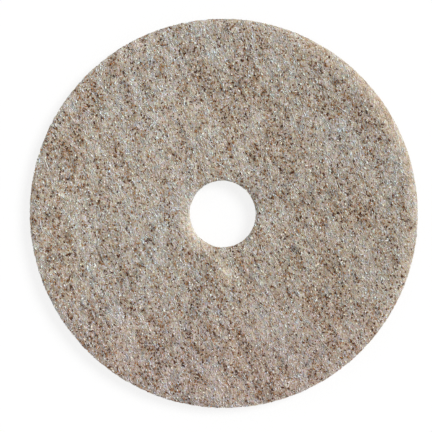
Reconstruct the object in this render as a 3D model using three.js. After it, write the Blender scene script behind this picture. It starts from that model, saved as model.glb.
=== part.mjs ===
// A round floor polishing pad: one disc of bonded non-woven fibre web, die-cut with a centring hole.
// Units are millimetres and +Z is up. The pad lies flat, and the origin is at the centre of its lower face.
import * as THREE from "three";

// The disc
const PAD_DIAMETER = 482.6; // a 19 inch pad
const PAD_THICKNESS = 25.4; // 1 inch of lofted web

// The hole that a floor machine's centring lock goes through
const HOLE_DIAMETER = 82.55; // 3 1/4 inches

// The springy web curls over gently towards its die-cut edges, on both faces. The hole's edge curls over
// less than the rim, because the web holds it all round.
const RIM_CURL_WIDTH = 16;
const RIM_CURL_DEPTH = 6;
const HOLE_CURL_WIDTH = 14;
const HOLE_CURL_DEPTH = 5;

// A curl stays under half of the ring's width and of its thickness, so that some flat face and wall are left.
const MAX_CURL_SHARE = 0.49;

// Facets of the curved surfaces
const FACETS_AROUND = 120;
const CURL_DIVISIONS = 3; // a curl's arc gets twice as many facets

// The web's mean colour, off-white synthetic fibre blended with brown natural hair
const WEB_COLOUR = 0xa3978a;
const WEB_ROUGHNESS = 0.95;

function curlWithin(size, wanted) {
  return Math.min(wanted, MAX_CURL_SHARE * size);
}

// The section through one side of the ring, as (radius, height), run round so that the faces point out.
function ringSection() {
  const outer = PAD_DIAMETER / 2;
  const inner = HOLE_DIAMETER / 2;
  const top = PAD_THICKNESS;
  const rimWidth = curlWithin(outer - inner, RIM_CURL_WIDTH);
  const rimDepth = curlWithin(top, RIM_CURL_DEPTH);
  const holeWidth = curlWithin(outer - inner, HOLE_CURL_WIDTH);
  const holeDepth = curlWithin(top, HOLE_CURL_DEPTH);
  const flatStart = inner + holeWidth;
  const flatEnd = outer - rimWidth;

  const section = new THREE.Path();
  section.moveTo(flatStart, 0);
  section.lineTo(flatEnd, 0);
  section.absellipse(flatEnd, rimDepth, rimWidth, rimDepth, -Math.PI / 2, 0);
  section.lineTo(outer, top - rimDepth);
  section.absellipse(flatEnd, top - rimDepth, rimWidth, rimDepth, 0, Math.PI / 2);
  section.lineTo(flatStart, top);
  section.absellipse(flatStart, top - holeDepth, holeWidth, holeDepth, Math.PI / 2, Math.PI);
  section.lineTo(inner, holeDepth);
  section.absellipse(flatStart, holeDepth, holeWidth, holeDepth, Math.PI, 1.5 * Math.PI);
  return section.getPoints(CURL_DIVISIONS);
}

// The whole pad is cut from one piece of web, so it is one solid of revolution.
function fibrePad() {
  const web = new THREE.MeshStandardMaterial({
    color: WEB_COLOUR,
    roughness: WEB_ROUGHNESS,
    metalness: 0,
  });
  const pad = new THREE.Mesh(new THREE.LatheGeometry(ringSection(), FACETS_AROUND), web);
  pad.name = "fibre_pad";
  pad.rotation.x = Math.PI / 2; // a lathe turns about Y, and the pad's axis is Z
  return pad;
}

const floorPad = new THREE.Group();
floorPad.name = "floor_pad";
floorPad.add(fibrePad());

export default floorPad;
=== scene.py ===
import math
from collections import namedtuple

import bpy
import numpy as np
from mathutils import Matrix, Vector


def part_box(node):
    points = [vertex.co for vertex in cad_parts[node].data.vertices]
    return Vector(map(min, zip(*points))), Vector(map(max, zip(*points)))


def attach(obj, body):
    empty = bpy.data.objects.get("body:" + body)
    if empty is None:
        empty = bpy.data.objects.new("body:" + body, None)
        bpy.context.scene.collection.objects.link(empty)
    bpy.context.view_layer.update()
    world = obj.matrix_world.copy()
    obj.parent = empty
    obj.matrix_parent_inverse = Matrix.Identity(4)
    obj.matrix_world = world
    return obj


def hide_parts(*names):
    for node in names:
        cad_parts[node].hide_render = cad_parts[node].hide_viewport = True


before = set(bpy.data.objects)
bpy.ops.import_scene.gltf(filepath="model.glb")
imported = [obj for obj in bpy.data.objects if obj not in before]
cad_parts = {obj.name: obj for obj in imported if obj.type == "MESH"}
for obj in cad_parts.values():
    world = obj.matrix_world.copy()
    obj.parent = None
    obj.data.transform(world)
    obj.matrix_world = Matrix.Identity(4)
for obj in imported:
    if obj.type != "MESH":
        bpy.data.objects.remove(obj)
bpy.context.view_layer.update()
RANDOM = np.random.default_rng(19)
MM = 0.001

# The pad's section, from the CAD solid. What lies closer together than this counts as one place.
CLOSE = 0.01 * MM
PAD_LOW, PAD_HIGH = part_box("fibre_pad")
TOP = PAD_HIGH.z


def cad_section():
    """The radii of the hole, the rim and the flat part between them, and how deep both edges curl."""
    corners = np.array([vertex.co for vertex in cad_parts["fibre_pad"].data.vertices])
    radii = np.hypot(corners[:, 0], corners[:, 1])
    heights = corners[:, 2]
    inner, outer = radii.min(), radii.max()
    flat = radii[heights > TOP - CLOSE]
    hole_wall = heights[radii < inner + CLOSE]
    rim_wall = heights[radii > outer - CLOSE]
    return inner, outer, flat.min(), flat.max(), hole_wall.min(), rim_wall.min()


def linear(red, green, blue):
    """An sRGB colour of 0 to 255 as the scene's linear colour."""
    def one(value):
        share = value / 255
        return share / 12.92 if share <= 0.04045 else ((share + 0.055) / 1.055) ** 2.4
    return (one(red), one(green), one(blue), 1.0)


INNER, OUTER, FLAT_START, FLAT_END, HOLE_DEPTH, RIM_DEPTH = cad_section()

# The camera, nearly straight above, as in the photograph of 432 pixels a side
PHOTO_SIDE = 432
DISC_CENTRE = (222.6, 213.9)
DISC_RADIUS = 194.5
CAMERA_DISTANCE = 2.6
CAMERA_TILT = math.radians(6)
CAMERA_AZIMUTH = math.radians(28)
SENSOR = 36

# The light: how strong the sky is, and how strong the key is, where it stands and how wide it is. Then the
# white floor: the share of it that shines by itself, its side and its colour
FILL = 0.537
KEY_SHARE = 0.52
KEY_AZIMUTH = math.radians(28)
KEY_ELEVATION = math.radians(48)
KEY_ANGLE = math.radians(24)
FLOOR_GLOW = 0.8
FLOOR_SIDE = 8.0
FLOOR_COLOUR = (0.98, 0.98, 0.98, 1)

# Points on each arc of the section, and on a fine walk round all of it
ARC_POINTS = 21
WALK_POINTS = 4001

# How far a normal points up or down, from 0 to 1, where the surface is level and where it's still a face of
# the pad and not a wall
LEVEL_NORMAL = 0.995
FACE_NORMAL = 0.7

# The dense body: its depth under the CAD surface, its columns, the distances between its rows on the upper
# face, the underside and the edges, its relief as wavelengths and heights, and how low it may reach
BODY_INSET = 0.75 * MM
BODY_COLUMNS = 540
TOP_ROW = 2.4 * MM
BOTTOM_ROW = 4.5 * MM
EDGE_ROW = 1.6 * MM
RELIEF = ((9 * MM, 0.22 * MM), (5 * MM, 0.20 * MM))
BODY_FLOOR = 0.2 * MM

# The way that the web ran through the machine, along which more of its fibres lie
GRAIN = math.radians(114)
GRAIN_SPREAD = 0.4

# How pale and dark patches of the web are, by their size, how far they are drawn out along the grain, and
# how much they change the tone of the body and of the fibres
MOTTLES = ((200 * MM, 0.15), (45 * MM, 0.45), (16 * MM, 0.6), (6 * MM, 0.65))
MOTTLE_STRETCH = 3.2
BODY_MOTTLE = 0.015
FIBRE_MOTTLE = 0.08

# A cloud is the sum of so many waves, with lengths between these shares of its wavelength
CLOUD_WAVES = 40
CLOUD_LENGTHS = (0.7, 1.8)

# A pale patch near the hole, where the web holds less hair: its place, its length along the grain and width,
# and how much it counts as a pale clump and as a pale edge
PALE_PATCH = (5 * MM, -74 * MM)
PALE_PATCH_SIZE = (13 * MM, 7 * MM)
PALE_PATCH_MOTTLE = 2.0
PALE_PATCH_EDGE = 0.6

# Cooler and warmer patches, broad and small, and pinker and greener strands: noise cells a metre, and the
# two factors on a colour. Then the values of the noise between which one factor turns into the other.
TINTS = (
    (10, (0.985, 1.0, 1.018, 1.0), (1.015, 0.999, 0.98, 1.0)),
    (250, (0.952, 1.0, 1.05, 1.0), (1.045, 0.995, 0.922, 1.0)),
    (500, (1.04, 0.92, 1.04, 1.0), (0.97, 1.06, 0.96, 1.0)),
)
TINT_RANGE = (0.35, 0.65)

# The dense body's strands: noise cells a metre, how far they are drawn out, the ways in which they cross,
# how much finer each set is than the last, and their colours by how much light they catch
STRAND_SCALE = 700
STRAND_STRETCH = 4.5
STRAND_TURNS = (-0.5, -0.15, 0.2, 0.9)
STRAND_FINER = 0.1
WEB_TONES = (
    (0.48, linear(137, 114, 90)),
    (0.55, linear(164, 147, 129)),
    (0.63, linear(188, 181, 169)),
    (0.73, linear(210, 206, 197)),
)
# Colours of the cut edges: partly the web's own paler fibre, partly painted light where an edge faces the
# key light
EDGE_AND_PAINTED_LIGHT_TONES = (
    (0.46, linear(184, 162, 136)),
    (0.57, linear(218, 203, 182)),
    (0.68, linear(240, 230, 214)),
)

# Specks of natural hair and of white fibre in the body, the white ones partly painted glints: cells a metre,
# share of the cells, reach in a cell and colour, and the share of the reach that has the full colour
TAN_SPECKS = (380, 0.2, 0.46, linear(160, 114, 66))
DARK_SPECKS = (380, 0.16, 0.42, linear(80, 40, 8))
WHITE_SPECKS_AND_PAINTED_GLINTS = (500, 0.26, 0.40, linear(234, 244, 246))
SPECK_CORE = 0.6

# The gloss and the fine relief of the materials
WEB_ROUGHNESS = 0.9
SPECULAR = 0.35
NOISE_DETAIL = 2.0
BUMP_STRENGTH = 0.6
BUMP_DEPTH = 0.8 * MM

# The web turns paler towards its cut edges, where less hair and grey fibre show, and most of all where an
# edge faces the key light: that part is painted light, a paler colour on the walls that the lamp lights
EDGE_FADE = 0.4
RIM_PALENESS = 0.62
PAINTED_LIGHT_SIDE = math.radians(26)
PAINTED_LIGHT_FOCUS = 3
PALE_ALL_ROUND = 0.04

# The sides of the pad that are a little pinker and a little darker: a factor on the colour, the way towards
# that side, and where along it the change starts and ends
PINK_SIDE = ((1.02, 0.96, 0.98, 1.0), math.radians(-90), 50 * MM, 210 * MM)
DARK_SIDE = ((0.925, 0.92, 0.915, 1.0), math.radians(-25), -230 * MM, 230 * MM)

# The fibres are tubes of three sides. Their thickness stays within so many spreads of the usual one, they
# lie a little deeper at the cut edges, and their spots are drawn from so many tries for each.
SIDES = 3
SIZE_LIMIT = 1.8
EDGE_SINK = 0.35 * MM
TRIES_A_SPOT = 12

# How much the fibres differ in length, in tone and in the way they run on a wall, how far they taper towards
# their ends, and how low they may reach
LENGTH_SPREAD = 0.3
MEAN_TONE = 0.5
TONE_SPREAD = 0.25
WALL_SPREAD = 0.35
TAPER = 0.4
FIBRE_FLOOR = 0.02 * MM

# The map that a bake uses gives each fibre a square: the share left free at its borders, the share that an
# end of the fibre has, and how far into it the end goes
CELL_MARGIN = 0.15
END_STRIP = 0.15
END_REACH = 0.1


# The section of the ring, as points that run from the hole over the top, down the rim and back


def section_line():
    """Running length, radius, height and the outward normal's two parts along the section."""
    hole, rim = FLAT_START - INNER, OUTER - FLAT_END
    arcs = (
        (FLAT_START, TOP - HOLE_DEPTH, hole, HOLE_DEPTH, 180, 90),
        (FLAT_END, TOP - RIM_DEPTH, rim, RIM_DEPTH, 90, 0),
        (FLAT_END, RIM_DEPTH, rim, RIM_DEPTH, 0, -90),
        (FLAT_START, HOLE_DEPTH, hole, HOLE_DEPTH, -90, -180),
        (FLAT_START, TOP - HOLE_DEPTH, hole, HOLE_DEPTH, -180, -180),
    )
    rows = []
    for radius, height, width, depth, start, end in arcs:
        for turn in np.radians(np.linspace(start, end, ARC_POINTS)):
            out, up = math.cos(turn), math.sin(turn)
            size = math.hypot(out / width, up / depth)
            place = (radius + width * out, height + depth * up)
            rows.append((*place, out / width / size, up / depth / size))
    line = np.array(rows)
    steps = np.linalg.norm(np.diff(line[:, :2], axis=0), axis=1)
    kept = np.concatenate([[True], steps > CLOSE])
    line = line[kept]
    length = np.concatenate([[0.0], np.cumsum(np.linalg.norm(np.diff(line[:, :2], axis=0), axis=1))])
    return length, line


SECTION_LENGTH, SECTION = section_line()
GIRTH = SECTION_LENGTH[-1]


def at_section(along):
    """Radius, height and normal of the section at these running lengths."""
    wrapped = np.mod(along, GIRTH)
    return [np.interp(wrapped, SECTION_LENGTH, SECTION[:, i]) for i in range(4)]


def on_pad(along, angle, lift):
    """Points on the pad, lifted off its surface along the normal."""
    radius, height, out, up = at_section(along)
    size = np.hypot(out, up)
    reach = radius + lift * out / size
    return np.stack([reach * np.cos(angle), reach * np.sin(angle), height + lift * up / size], -1)


def cloud(wavelength, stretch=1.0):
    """Makes a smooth random field of about unit size, which may be drawn out along the grain."""
    ways = RANDOM.normal(size=(CLOUD_WAVES, 3))
    ways /= np.linalg.norm(ways, axis=1, keepdims=True)
    lengths = wavelength * RANDOM.uniform(*CLOUD_LENGTHS, CLOUD_WAVES)
    turns = 2 * math.pi * ways / lengths[:, None]
    grain = np.array([math.cos(GRAIN), math.sin(GRAIN), 0])
    turns -= (1 - 1 / stretch) * np.outer(turns @ grain, grain)
    phases = RANDOM.uniform(0, 2 * math.pi, CLOUD_WAVES)

    def field(points):
        flat = points.reshape(-1, 3)
        total = np.cos(flat @ turns.T + phases).sum(1)
        return (total * math.sqrt(2 / CLOUD_WAVES)).reshape(points.shape[:-1])

    return field


MOTTLE_CLOUDS = [(cloud(wavelength, MOTTLE_STRETCH), size) for wavelength, size in MOTTLES]


def pale_patch(points):
    """How much a place belongs to the pale patch near the hole, 0 to 1."""
    away = points[..., :2] - PALE_PATCH
    along = away @ [math.cos(GRAIN), math.sin(GRAIN)]
    across = away @ [-math.sin(GRAIN), math.cos(GRAIN)]
    length, width = PALE_PATCH_SIZE
    return np.exp(-((along / length) ** 2) - (across / width) ** 2)


def mottle(points):
    """How pale the web is there, about -1 to 1, from the way its fibres clump."""
    clumps = sum(size * field(points) for field, size in MOTTLE_CLOUDS)
    return clumps + PALE_PATCH_MOTTLE * pale_patch(points)


def edge_paleness_and_painted_light(out, angle):
    """How pale a cut edge is there, from 0 on a flat face to 1 on a wall that faces the key light, where the
    extra paleness is painted light.
    """
    facing = np.sign(out) * np.cos(angle - PAINTED_LIGHT_SIDE)
    pale = PALE_ALL_ROUND + (1 - PALE_ALL_ROUND) * np.maximum(facing, 0) ** PAINTED_LIGHT_FOCUS
    return np.abs(out) ** EDGE_FADE * pale * np.where(out > 0, RIM_PALENESS, 1.0)


# Meshes


def new_piece(name, corners, loops, starts, material):
    """A smooth mesh object from flat arrays."""
    mesh = bpy.data.meshes.new(name)
    mesh.vertices.add(len(corners))
    mesh.vertices.foreach_set("co", corners.astype(np.float32).ravel())
    mesh.loops.add(len(loops))
    mesh.loops.foreach_set("vertex_index", loops.astype(np.int32))
    mesh.polygons.add(len(starts))
    mesh.polygons.foreach_set("loop_start", starts.astype(np.int32))
    mesh.update(calc_edges=True)
    mesh.shade_smooth()
    mesh.materials.append(material)
    piece = bpy.data.objects.new(name, mesh)
    bpy.context.scene.collection.objects.link(piece)
    return piece


def add_attribute(piece, name, values):
    """One number a vertex, which the materials read."""
    attribute = piece.data.attributes.new(name, "FLOAT", "POINT")
    attribute.data.foreach_set("value", values.astype(np.float32).ravel())


def body_rows():
    """Running lengths of the body's rows, close together round the edges."""
    walk = np.linspace(0, GIRTH, WALK_POINTS)
    up = at_section(walk[:-1])[3]
    under = np.where(up < -LEVEL_NORMAL, BOTTOM_ROW, EDGE_ROW)
    spacing = np.where(up > LEVEL_NORMAL, TOP_ROW, under)
    count = np.concatenate([[0.0], np.cumsum(np.diff(walk) / spacing)])
    rows = int(round(count[-1]))
    return np.interp(np.arange(rows) * count[-1] / rows, count, walk)


def wrapped_quads(rows, columns):
    """Corner indices of the quads of a grid that closes on itself both ways."""
    row, column = np.meshgrid(np.arange(rows), np.arange(columns), indexing="ij")
    next_row, next_column = (row + 1) % rows, (column + 1) % columns
    return np.stack([
        row * columns + column,
        next_row * columns + column,
        next_row * columns + next_column,
        row * columns + next_column,
    ], -1).ravel()


def web_body(material):
    """The dense web under the loose fibres, with its lofted relief."""
    along = body_rows()
    angle = np.arange(BODY_COLUMNS) * 2 * math.pi / BODY_COLUMNS
    along, angle = np.meshgrid(along, angle, indexing="ij")
    smooth = on_pad(along, angle, 0.0)
    relief = sum(size * cloud(wavelength)(smooth) for wavelength, size in RELIEF)
    lift = np.minimum(relief - BODY_INSET, 0)
    corners = on_pad(along, angle, lift)
    corners[..., 2] = np.clip(corners[..., 2], BODY_FLOOR, TOP)
    quads = wrapped_quads(*along.shape)
    body = new_piece("web_body", corners.reshape(-1, 3), quads, np.arange(along.size) * 4, material)
    add_attribute(body, "mottle", mottle(corners))
    # Paler cut edges: partly the web's own colour, partly painted light on the walls that face the key light
    edge_and_painted_light = edge_paleness_and_painted_light(at_section(along)[2], angle)
    add_attribute(body, "edge_and_painted_light", edge_and_painted_light + PALE_PATCH_EDGE * pale_patch(corners))
    return body


def spots_on_pad(count, face_weight, edge_weight, bottom_weight, clumping):
    """Random places on the pad, as thick on each kind of surface as its weight says.

    A positive clumping gathers them in the dark patches of the web, and a negative one in the pale patches.
    """
    walk = np.linspace(0, GIRTH, WALK_POINTS)
    radius = at_section(walk)[0]
    area = np.concatenate([[0.0], np.cumsum((radius[1:] + radius[:-1]) / 2)])
    tries = TRIES_A_SPOT * count
    along = np.interp(RANDOM.uniform(0, area[-1], tries), area, walk)
    angle = RANDOM.uniform(0, 2 * math.pi, tries)
    out, up = at_section(along)[2:]
    flat_weight = np.where(up > 0, face_weight, bottom_weight)
    # Fibres thin out at the pale cut edges, which includes the painted light on edges that face the key
    # light
    weight = np.maximum(flat_weight + (edge_weight - flat_weight) * edge_paleness_and_painted_light(out, angle), 0)
    paleness = mottle(on_pad(along, angle, 0.0))
    chance = weight * np.clip(0.5 - clumping * paleness, 0, 1)
    chosen = RANDOM.choice(tries, count, replace=False, p=chance / chance.sum())
    return along[chosen], angle[chosen]


def unrolled_lines(kind, angle, is_face):
    """Where fibres run on the surface from their middles, as distances (fibre, step, along and round)."""
    count = kind.count
    lie = np.where(
        RANDOM.random(count) < kind.aligned,
        RANDOM.normal(GRAIN, GRAIN_SPREAD, count),
        RANDOM.uniform(0, math.pi, count),
    )
    wall_lie = math.pi / 2 + RANDOM.normal(0, WALL_SPREAD, count)
    start = np.where(is_face, lie - angle, wall_lie)
    turn = kind.curl * RANDOM.normal(0, 1, count)
    length = kind.length * np.exp(RANDOM.normal(0, LENGTH_SPREAD, count))
    between_steps = (np.arange(kind.steps - 1) + 0.5) / (kind.steps - 1) - 0.5
    heading = start[:, None] + turn[:, None] * between_steps
    stride = length[:, None] / (kind.steps - 1)
    moves = stride[..., None] * np.stack([np.cos(heading), np.sin(heading)], -1)
    places = np.concatenate([np.zeros((count, 1, 2)), np.cumsum(moves, axis=1)], axis=1)
    return places - places.mean(axis=1, keepdims=True)


def lifts(kind, out, radii):
    """How far off the surface each point of the fibres is: their middles arch up and their ends dip."""
    step = np.linspace(-1, 1, kind.steps)
    level = RANDOM.uniform(*kind.level, kind.count)
    arch = np.abs(RANDOM.normal(0, kind.loft, kind.count))
    lift = level[:, None] + arch[:, None] * (1 - step ** 2) - kind.dip * step ** 4
    return lift - (out ** 2 * (EDGE_SINK + radii))[:, None]


def fibre_lines(kind, radii):
    """The middle lines of loose fibres, as points (fibre, step, xyz), with each fibre's surface normal."""
    along, angle = spots_on_pad(kind.count, *kind.weights, kind.clumping)
    radius, _, out, up = at_section(along)
    places = unrolled_lines(kind, angle, np.abs(up) > FACE_NORMAL)
    points = on_pad(
        along[:, None] + places[..., 0],
        angle[:, None] + places[..., 1] / radius[:, None],
        lifts(kind, out, radii),
    )
    normal = np.stack([out * np.cos(angle), out * np.sin(angle), up], -1)
    return points, normal


def tube_corners(points, normal, radii):
    """Rings of corners round each fibre's middle line."""
    ways = np.gradient(points, axis=1)
    ways /= np.linalg.norm(ways, axis=2, keepdims=True)
    sideways = np.cross(ways, normal[:, None, :])
    sideways /= np.linalg.norm(sideways, axis=2, keepdims=True)
    upwards = np.cross(sideways, ways)
    turn = math.pi / 2 + np.arange(SIDES) * 2 * math.pi / SIDES
    ring = (
        np.cos(turn)[None, None, :, None] * sideways[:, :, None, :]
        + np.sin(turn)[None, None, :, None] * upwards[:, :, None, :]
    )
    corners = points[:, :, None, :] + radii[:, :, None, None] * ring
    corners[..., 2] = np.maximum(corners[..., 2], FIBRE_FLOOR)
    return corners


def side_numbers(steps):
    """The step and the side of each quad of a tube."""
    step, side = np.meshgrid(np.arange(steps - 1), np.arange(SIDES), indexing="ij")
    return step.ravel(), side.ravel()


def tube_faces(count, steps):
    """Corner indices of every fibre's faces, its quads and then its two ends, and where each face starts."""
    step, side = side_numbers(steps)
    near, far = step * SIDES, (step + 1) * SIDES
    after = (side + 1) % SIDES
    quads = np.stack([near + side, far + side, far + after, near + after], -1)
    first_ring = np.arange(SIDES)
    ends = np.array([first_ring, steps * SIDES - 1 - first_ring])
    one_loops = np.concatenate([quads.ravel(), ends.ravel()])
    one_starts = np.concatenate([
        np.arange(len(quads)) * 4,
        len(quads) * 4 + np.arange(len(ends)) * SIDES,
    ])
    fibre = np.arange(count)[:, None]
    loops = (fibre * steps * SIDES + one_loops).ravel()
    starts = (fibre * len(one_loops) + one_starts).ravel()
    return loops, starts


def tube_cell(steps):
    """Where each face's corners lie in a fibre's cell: the quads in its middle, an end at either border."""
    step, side = side_numbers(steps)
    across = np.stack([side, side, side + 1, side + 1], -1) / SIDES
    down = END_STRIP + (1 - 2 * END_STRIP) * np.stack([step, step + 1, step + 1, step], -1) / (steps - 1)
    end_across = np.array([[0, 1, 0.5], [0, 1, 0.5]])
    end_down = np.array([[0, 0, END_REACH], [1, 1, 1 - END_REACH]])
    return np.stack([
        np.concatenate([across.ravel(), end_across.ravel()]),
        np.concatenate([down.ravel(), end_down.ravel()]),
    ], -1)


def lay_out_cells(piece, count, one_cell):
    """Gives each fibre a square of its own on the map that a bake uses."""
    across = math.ceil(math.sqrt(count))
    square = np.stack([np.arange(count) % across, np.arange(count) // across], -1)
    places = (square[:, None, :] + CELL_MARGIN + (1 - 2 * CELL_MARGIN) * one_cell) / across
    layer = piece.data.uv_layers.new(name="OFBake")
    layer.uv.foreach_set("vector", places.astype(np.float32).ravel())


def fibre_layer(kind):
    """Loose fibres of one kind all over the pad."""
    size = np.clip(RANDOM.normal(size=kind.count), -SIZE_LIMIT, SIZE_LIMIT)
    radii = kind.thickness / 2 * np.exp(kind.spread * size)
    points, normal = fibre_lines(kind, radii)
    step = np.linspace(-1, 1, kind.steps)
    corners = tube_corners(points, normal, radii[:, None] * (1 - TAPER * step ** 2))
    loops, starts = tube_faces(kind.count, kind.steps)
    piece = new_piece(kind.name, corners.reshape(-1, 3), loops, starts, fibre_material(kind))
    tone = MEAN_TONE + TONE_SPREAD * RANDOM.normal(size=kind.count) + FIBRE_MOTTLE * mottle(points[:, 1])
    add_attribute(piece, "tone", np.repeat(tone, kind.steps * SIDES))
    lay_out_cells(piece, kind.count, tube_cell(kind.steps))
    return piece


# Materials


def new_material(name, roughness):
    """A Principled material with its node tree and shader."""
    material = bpy.data.materials.new(name)
    material.use_nodes = True
    tree = material.node_tree
    shader = tree.nodes["Principled BSDF"]
    shader.inputs["Roughness"].default_value = roughness
    shader.inputs["Specular IOR Level"].default_value = SPECULAR
    return material, tree, shader


def ramp(tree, factor, stops):
    """A colour ramp of (place, colour) stops, fed by a socket."""
    node = tree.nodes.new("ShaderNodeValToRGB")
    elements = node.color_ramp.elements
    while len(elements) < len(stops):
        elements.new(0.5)
    for element, (place, colour) in zip(elements, stops):
        element.position = place
        element.color = colour
    tree.links.new(factor, node.inputs["Fac"])
    return node.outputs["Color"]


def maths(tree, operation, first, second):
    """A Math node of two inputs, each a socket or a number."""
    node = tree.nodes.new("ShaderNodeMath")
    node.operation = operation
    for socket, value in zip(node.inputs, (first, second)):
        if isinstance(value, (int, float)):
            socket.default_value = value
        else:
            tree.links.new(value, socket)
    return node.outputs["Value"]


def mix(tree, factor, first, second, blend="MIX"):
    """A colour mix, each input a socket, a colour or a number."""
    node = tree.nodes.new("ShaderNodeMix")
    node.data_type = "RGBA"
    node.blend_type = blend
    for name, value in (("Factor", factor), ("A", first), ("B", second)):
        kind = "VALUE" if name == "Factor" else "RGBA"
        socket = next(s for s in node.inputs if s.name == name and s.type == kind)
        if isinstance(value, (int, float, tuple)):
            socket.default_value = value
        else:
            tree.links.new(value, socket)
    return next(s for s in node.outputs if s.type == "RGBA")


def noise(tree, scale, turn=0.0, stretch=(1.0, 1.0, 1.0)):
    """Noise in the pad's own space, drawn out along axes that are turned about Z."""
    place = tree.nodes.new("ShaderNodeTexCoord")
    turned = tree.nodes.new("ShaderNodeMapping")
    turned.vector_type = "TEXTURE"
    turned.inputs["Rotation"].default_value = (0, 0, turn)
    turned.inputs["Scale"].default_value = stretch
    node = tree.nodes.new("ShaderNodeTexNoise")
    node.inputs["Scale"].default_value = scale
    node.inputs["Detail"].default_value = NOISE_DETAIL
    tree.links.new(place.outputs["Object"], turned.inputs["Vector"])
    tree.links.new(turned.outputs["Vector"], node.inputs["Vector"])
    return node.outputs["Fac"]


def attribute(tree, name):
    """A number that the mesh carries."""
    node = tree.nodes.new("ShaderNodeAttribute")
    node.attribute_name = name
    return node.outputs["Fac"]


def voronoi(tree, scale):
    """Distance to the nearest of some scattered points, and a random number for each of them."""
    place = tree.nodes.new("ShaderNodeTexCoord")
    node = tree.nodes.new("ShaderNodeTexVoronoi")
    node.inputs["Scale"].default_value = scale
    tree.links.new(place.outputs["Object"], node.inputs["Vector"])
    chance = tree.nodes.new("ShaderNodeSeparateColor")
    tree.links.new(node.outputs["Color"], chance.inputs["Color"])
    return node.outputs["Distance"], chance.outputs["Red"]


def between(tree, value, start, end):
    """0 to 1 as a value goes from start to end, with soft ends."""
    node = tree.nodes.new("ShaderNodeMapRange")
    node.interpolation_type = "SMOOTHSTEP"
    node.inputs["From Min"].default_value = start
    node.inputs["From Max"].default_value = end
    tree.links.new(value, node.inputs["Value"])
    return node.outputs["Result"]


def speckled(tree, colour, scale, share, reach, speck_colour):
    """The colour with some scattered specks of another."""
    distance, chance = voronoi(tree, scale)
    near = between(tree, distance, reach, SPECK_CORE * reach)
    chosen = maths(tree, "LESS_THAN", chance, share)
    return mix(tree, maths(tree, "MULTIPLY", near, chosen), colour, speck_colour)


def towards(tree, turn, start, end):
    """0 to 1 as a place goes from start to end along a way that is turned about Z."""
    place = tree.nodes.new("ShaderNodeTexCoord")
    reach = tree.nodes.new("ShaderNodeVectorMath")
    reach.operation = "DOT_PRODUCT"
    reach.inputs[1].default_value = (math.cos(turn), math.sin(turn), 0)
    tree.links.new(place.outputs["Object"], reach.inputs[0])
    return between(tree, reach.outputs["Value"], start, end)


def shifted(tree, colour):
    """The colour with its warmer and cooler patches, its tints, and the pad's pinker and darker sides."""
    for scale, low, high in TINTS:
        share = between(tree, noise(tree, scale), *TINT_RANGE)
        colour = mix(tree, 1.0, colour, mix(tree, share, low, high), "MULTIPLY")
    for factor, turn, start, end in (PINK_SIDE, DARK_SIDE):
        colour = mix(tree, towards(tree, turn, start, end), colour, factor, "MULTIPLY")
    return colour


def web_material():
    """The dense web: pale strands over brown gaps darkened with painted shade, with specks of natural hair,
    and paler cut edges that are partly painted light.
    """
    material, tree, shader = new_material("web_body", WEB_ROUGHNESS)
    strands = None
    for number, turn in enumerate(STRAND_TURNS):
        scale = STRAND_SCALE * (1 + STRAND_FINER * number)
        strand = noise(tree, scale, GRAIN + turn, (STRAND_STRETCH, 1.0, 1.0))
        strands = strand if strands is None else maths(tree, "MAXIMUM", strands, strand)
    clumps = maths(tree, "MULTIPLY", attribute(tree, "mottle"), BODY_MOTTLE)
    light = maths(tree, "ADD", strands, clumps)
    # Strand tone by how much light each catches: the darker gaps between strands are painted shade over the
    # web's brown
    colour = ramp(tree, light, WEB_TONES)
    # Specks of hair and of white fibre, the white ones partly painted glints
    for kind in (TAN_SPECKS, DARK_SPECKS, WHITE_SPECKS_AND_PAINTED_GLINTS):
        colour = speckled(tree, colour, *kind)
    # Paler cut edges: partly the web's own colour, partly painted light where an edge faces the key light
    edge_and_painted_light = ramp(tree, light, EDGE_AND_PAINTED_LIGHT_TONES)
    colour = mix(tree, attribute(tree, "edge_and_painted_light"), colour, edge_and_painted_light)
    tree.links.new(shifted(tree, colour), shader.inputs["Base Color"])
    bump = tree.nodes.new("ShaderNodeBump")
    bump.inputs["Strength"].default_value = BUMP_STRENGTH
    bump.inputs["Distance"].default_value = BUMP_DEPTH
    tree.links.new(strands, bump.inputs["Height"])
    tree.links.new(bump.outputs["Normal"], shader.inputs["Normal"])
    return material


def fibre_material(kind):
    """Fibres that differ in tone from one to the next."""
    material, tree, shader = new_material(kind.name, kind.roughness)
    tone = attribute(tree, "tone")
    colour = ramp(tree, tone, ((0.0, linear(*kind.dark)), (1.0, linear(*kind.pale))))
    tree.links.new(shifted(tree, colour), shader.inputs["Base Color"])
    return material


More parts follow.
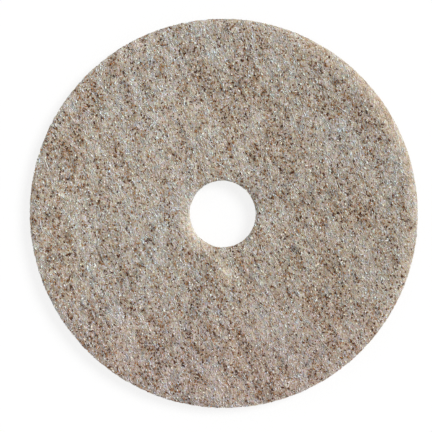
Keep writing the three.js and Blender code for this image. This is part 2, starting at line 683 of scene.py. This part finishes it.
# A kind of loose fibre: its darkest and palest colours, its roughness, how many there are, the points along
# each, their length, their thickness and how much it differs, how far they curl, the share that lies along
# the grain, the heights off the surface between which they lie, how far their middles arch up and their ends
# dip, how thick they lie on the face, at the pale edges and underneath, and how they gather in dark patches
Kind = namedtuple("Kind", (
    "name", "dark", "pale", "roughness", "count", "steps", "length", "thickness", "spread",
    "curl", "aligned", "level", "loft", "dip", "weights", "clumping",
))
LOW = (-0.65 * MM, 0.05 * MM)
MIDDLE = (-0.4 * MM, 0.2 * MM)
HIGH = (-0.1 * MM, 0.4 * MM)
BEIGE_WEIGHTS = (0.7, 2.0, 0.4)
WHITE_WEIGHTS = (1.0, 1.0, 0.5)
HAIR_WEIGHTS = (1.0, -2.0, 0.5)
FIBRES = (
    Kind("beige_fibre", (174, 152, 122), (230, 214, 188), 0.6, 6000, 4,
         10.0 * MM, 0.45 * MM, 0.2, 0.7, 0.85, LOW, 0.2 * MM, 0.4 * MM, BEIGE_WEIGHTS, 0.0),
    Kind("grey_fibre", (148, 152, 149), (194, 207, 210), 0.45, 6000, 4,
         9.0 * MM, 0.45 * MM, 0.2, 0.7, 0.85, LOW, 0.2 * MM, 0.4 * MM, HAIR_WEIGHTS, 0.0),
    Kind("white_fibre", (206, 212, 210), (248, 254, 254), 0.4, 5500, 4,
         7.0 * MM, 0.50 * MM, 0.2, 0.7, 0.85, MIDDLE, 0.25 * MM, 0.4 * MM, WHITE_WEIGHTS, -0.2),
    Kind("pale_wisp", (224, 218, 206), (252, 250, 244), 0.4, 1600, 6,
         9.0 * MM, 0.65 * MM, 0.35, 0.8, 0.9, HIGH, 0.1 * MM, 0.5 * MM, WHITE_WEIGHTS, -1.2),
    # Pale flecks: white fibre and painted glints, near-white bits that stand in for the shine on the fibres
    Kind("pale_fleck_and_painted_glint", (255, 247, 228), (236, 252, 255), 0.4, 5000, 3,
         2.7 * MM, 1.42 * MM, 0.45, 0.6, 0.8, HIGH, 0.1 * MM, 0.5 * MM, WHITE_WEIGHTS, -0.2),
    Kind("tan_hair", (148, 93, 38), (206, 153, 94), 0.6, 7000, 3,
         2.3 * MM, 1.05 * MM, 0.35, 0.8, 0.8, HIGH, 0.1 * MM, 0.5 * MM, HAIR_WEIGHTS, 0.3),
    Kind("brown_hair", (48, 17, 0), (112, 53, 2), 0.6, 5600, 3,
         2.2 * MM, 1.40 * MM, 0.35, 0.8, 0.8, HIGH, 0.1 * MM, 0.4 * MM, HAIR_WEIGHTS, 0.4),
)


def build_pad():
    """The web's body and its loose fibres, riding on the pad's one body."""
    body = web_body(web_material())
    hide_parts("fibre_pad")
    pieces = [body] + [fibre_layer(kind) for kind in FIBRES]
    for piece in pieces:
        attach(piece, "root")


# The floor, the light and the camera


def seen_directly(tree):
    """1 for what the camera sees, itself or in a mirror or glass, and 0 for what lights the pad."""
    path = tree.nodes.new("ShaderNodeLightPath")
    either = maths(tree, "ADD", path.outputs["Is Camera Ray"], path.outputs["Is Glossy Ray"])
    any_of = maths(tree, "ADD", either, path.outputs["Is Transmission Ray"])
    return maths(tree, "MINIMUM", any_of, 1.0)


def make_floor():
    """A white floor that keeps a faint shadow of the pad."""
    bpy.ops.mesh.primitive_plane_add(size=FLOOR_SIDE, location=(0, 0, 0))
    floor = bpy.context.object
    floor.name = "floor"
    material = bpy.data.materials.new("floor")
    material.use_nodes = True
    tree = material.node_tree
    tree.nodes.remove(tree.nodes["Principled BSDF"])
    lit = tree.nodes.new("ShaderNodeBsdfDiffuse")
    lit.inputs["Color"].default_value = FLOOR_COLOUR
    white = tree.nodes.new("ShaderNodeEmission")
    both = tree.nodes.new("ShaderNodeMixShader")
    share = maths(tree, "MULTIPLY", seen_directly(tree), FLOOR_GLOW)
    tree.links.new(share, both.inputs["Fac"])
    tree.links.new(lit.outputs["BSDF"], both.inputs[1])
    tree.links.new(white.outputs["Emission"], both.inputs[2])
    tree.links.new(both.outputs["Shader"], tree.nodes["Material Output"].inputs["Surface"])
    floor.data.materials.append(material)


def make_light():
    """An even sky and one wide soft key from the upper right."""
    world = bpy.data.worlds.new("studio")
    bpy.context.scene.world = world
    world.use_nodes = True
    tree = world.node_tree
    background = tree.nodes["Background"]
    background.inputs["Color"].default_value = (1, 1, 1, 1)
    shown = seen_directly(tree)
    extra = maths(tree, "MULTIPLY", shown, 1 - FILL)
    tree.links.new(maths(tree, "ADD", extra, FILL), background.inputs["Strength"])

    lamp = bpy.data.lights.new("key", "SUN")
    lamp.energy = KEY_SHARE * math.pi / math.sin(KEY_ELEVATION)
    lamp.angle = KEY_ANGLE
    key = bpy.data.objects.new("key", lamp)
    key.rotation_euler = (0, math.pi / 2 - KEY_ELEVATION, KEY_AZIMUTH)
    bpy.context.scene.collection.objects.link(key)


def make_camera():
    """The photograph's view: the disc where it is in the picture, seen with a long lens."""
    metres_per_pixel = OUTER / DISC_RADIUS
    aim = Vector((
        (PHOTO_SIDE / 2 - DISC_CENTRE[0]) * metres_per_pixel,
        (DISC_CENTRE[1] - PHOTO_SIDE / 2) * metres_per_pixel,
        TOP / 2,
    ))
    away = Vector((
        math.sin(CAMERA_TILT) * math.cos(CAMERA_AZIMUTH),
        math.sin(CAMERA_TILT) * math.sin(CAMERA_AZIMUTH),
        math.cos(CAMERA_TILT),
    ))
    right = Vector((0, 1, 0)).cross(away).normalized()
    up = away.cross(right)
    lens = bpy.data.cameras.new("camera")
    lens.sensor_width = SENSOR
    lens.lens = SENSOR * CAMERA_DISTANCE / (PHOTO_SIDE * metres_per_pixel)
    camera = bpy.data.objects.new("camera", lens)
    camera.matrix_world = Matrix.Translation(aim + away * CAMERA_DISTANCE) @ Matrix((
        (right.x, up.x, away.x),
        (right.y, up.y, away.y),
        (right.z, up.z, away.z),
    )).to_4x4()
    bpy.context.scene.collection.objects.link(camera)
    bpy.context.scene.camera = camera


make_camera()
make_floor()
make_light()
build_pad()
bpy.context.scene.view_settings.view_transform = "Standard"
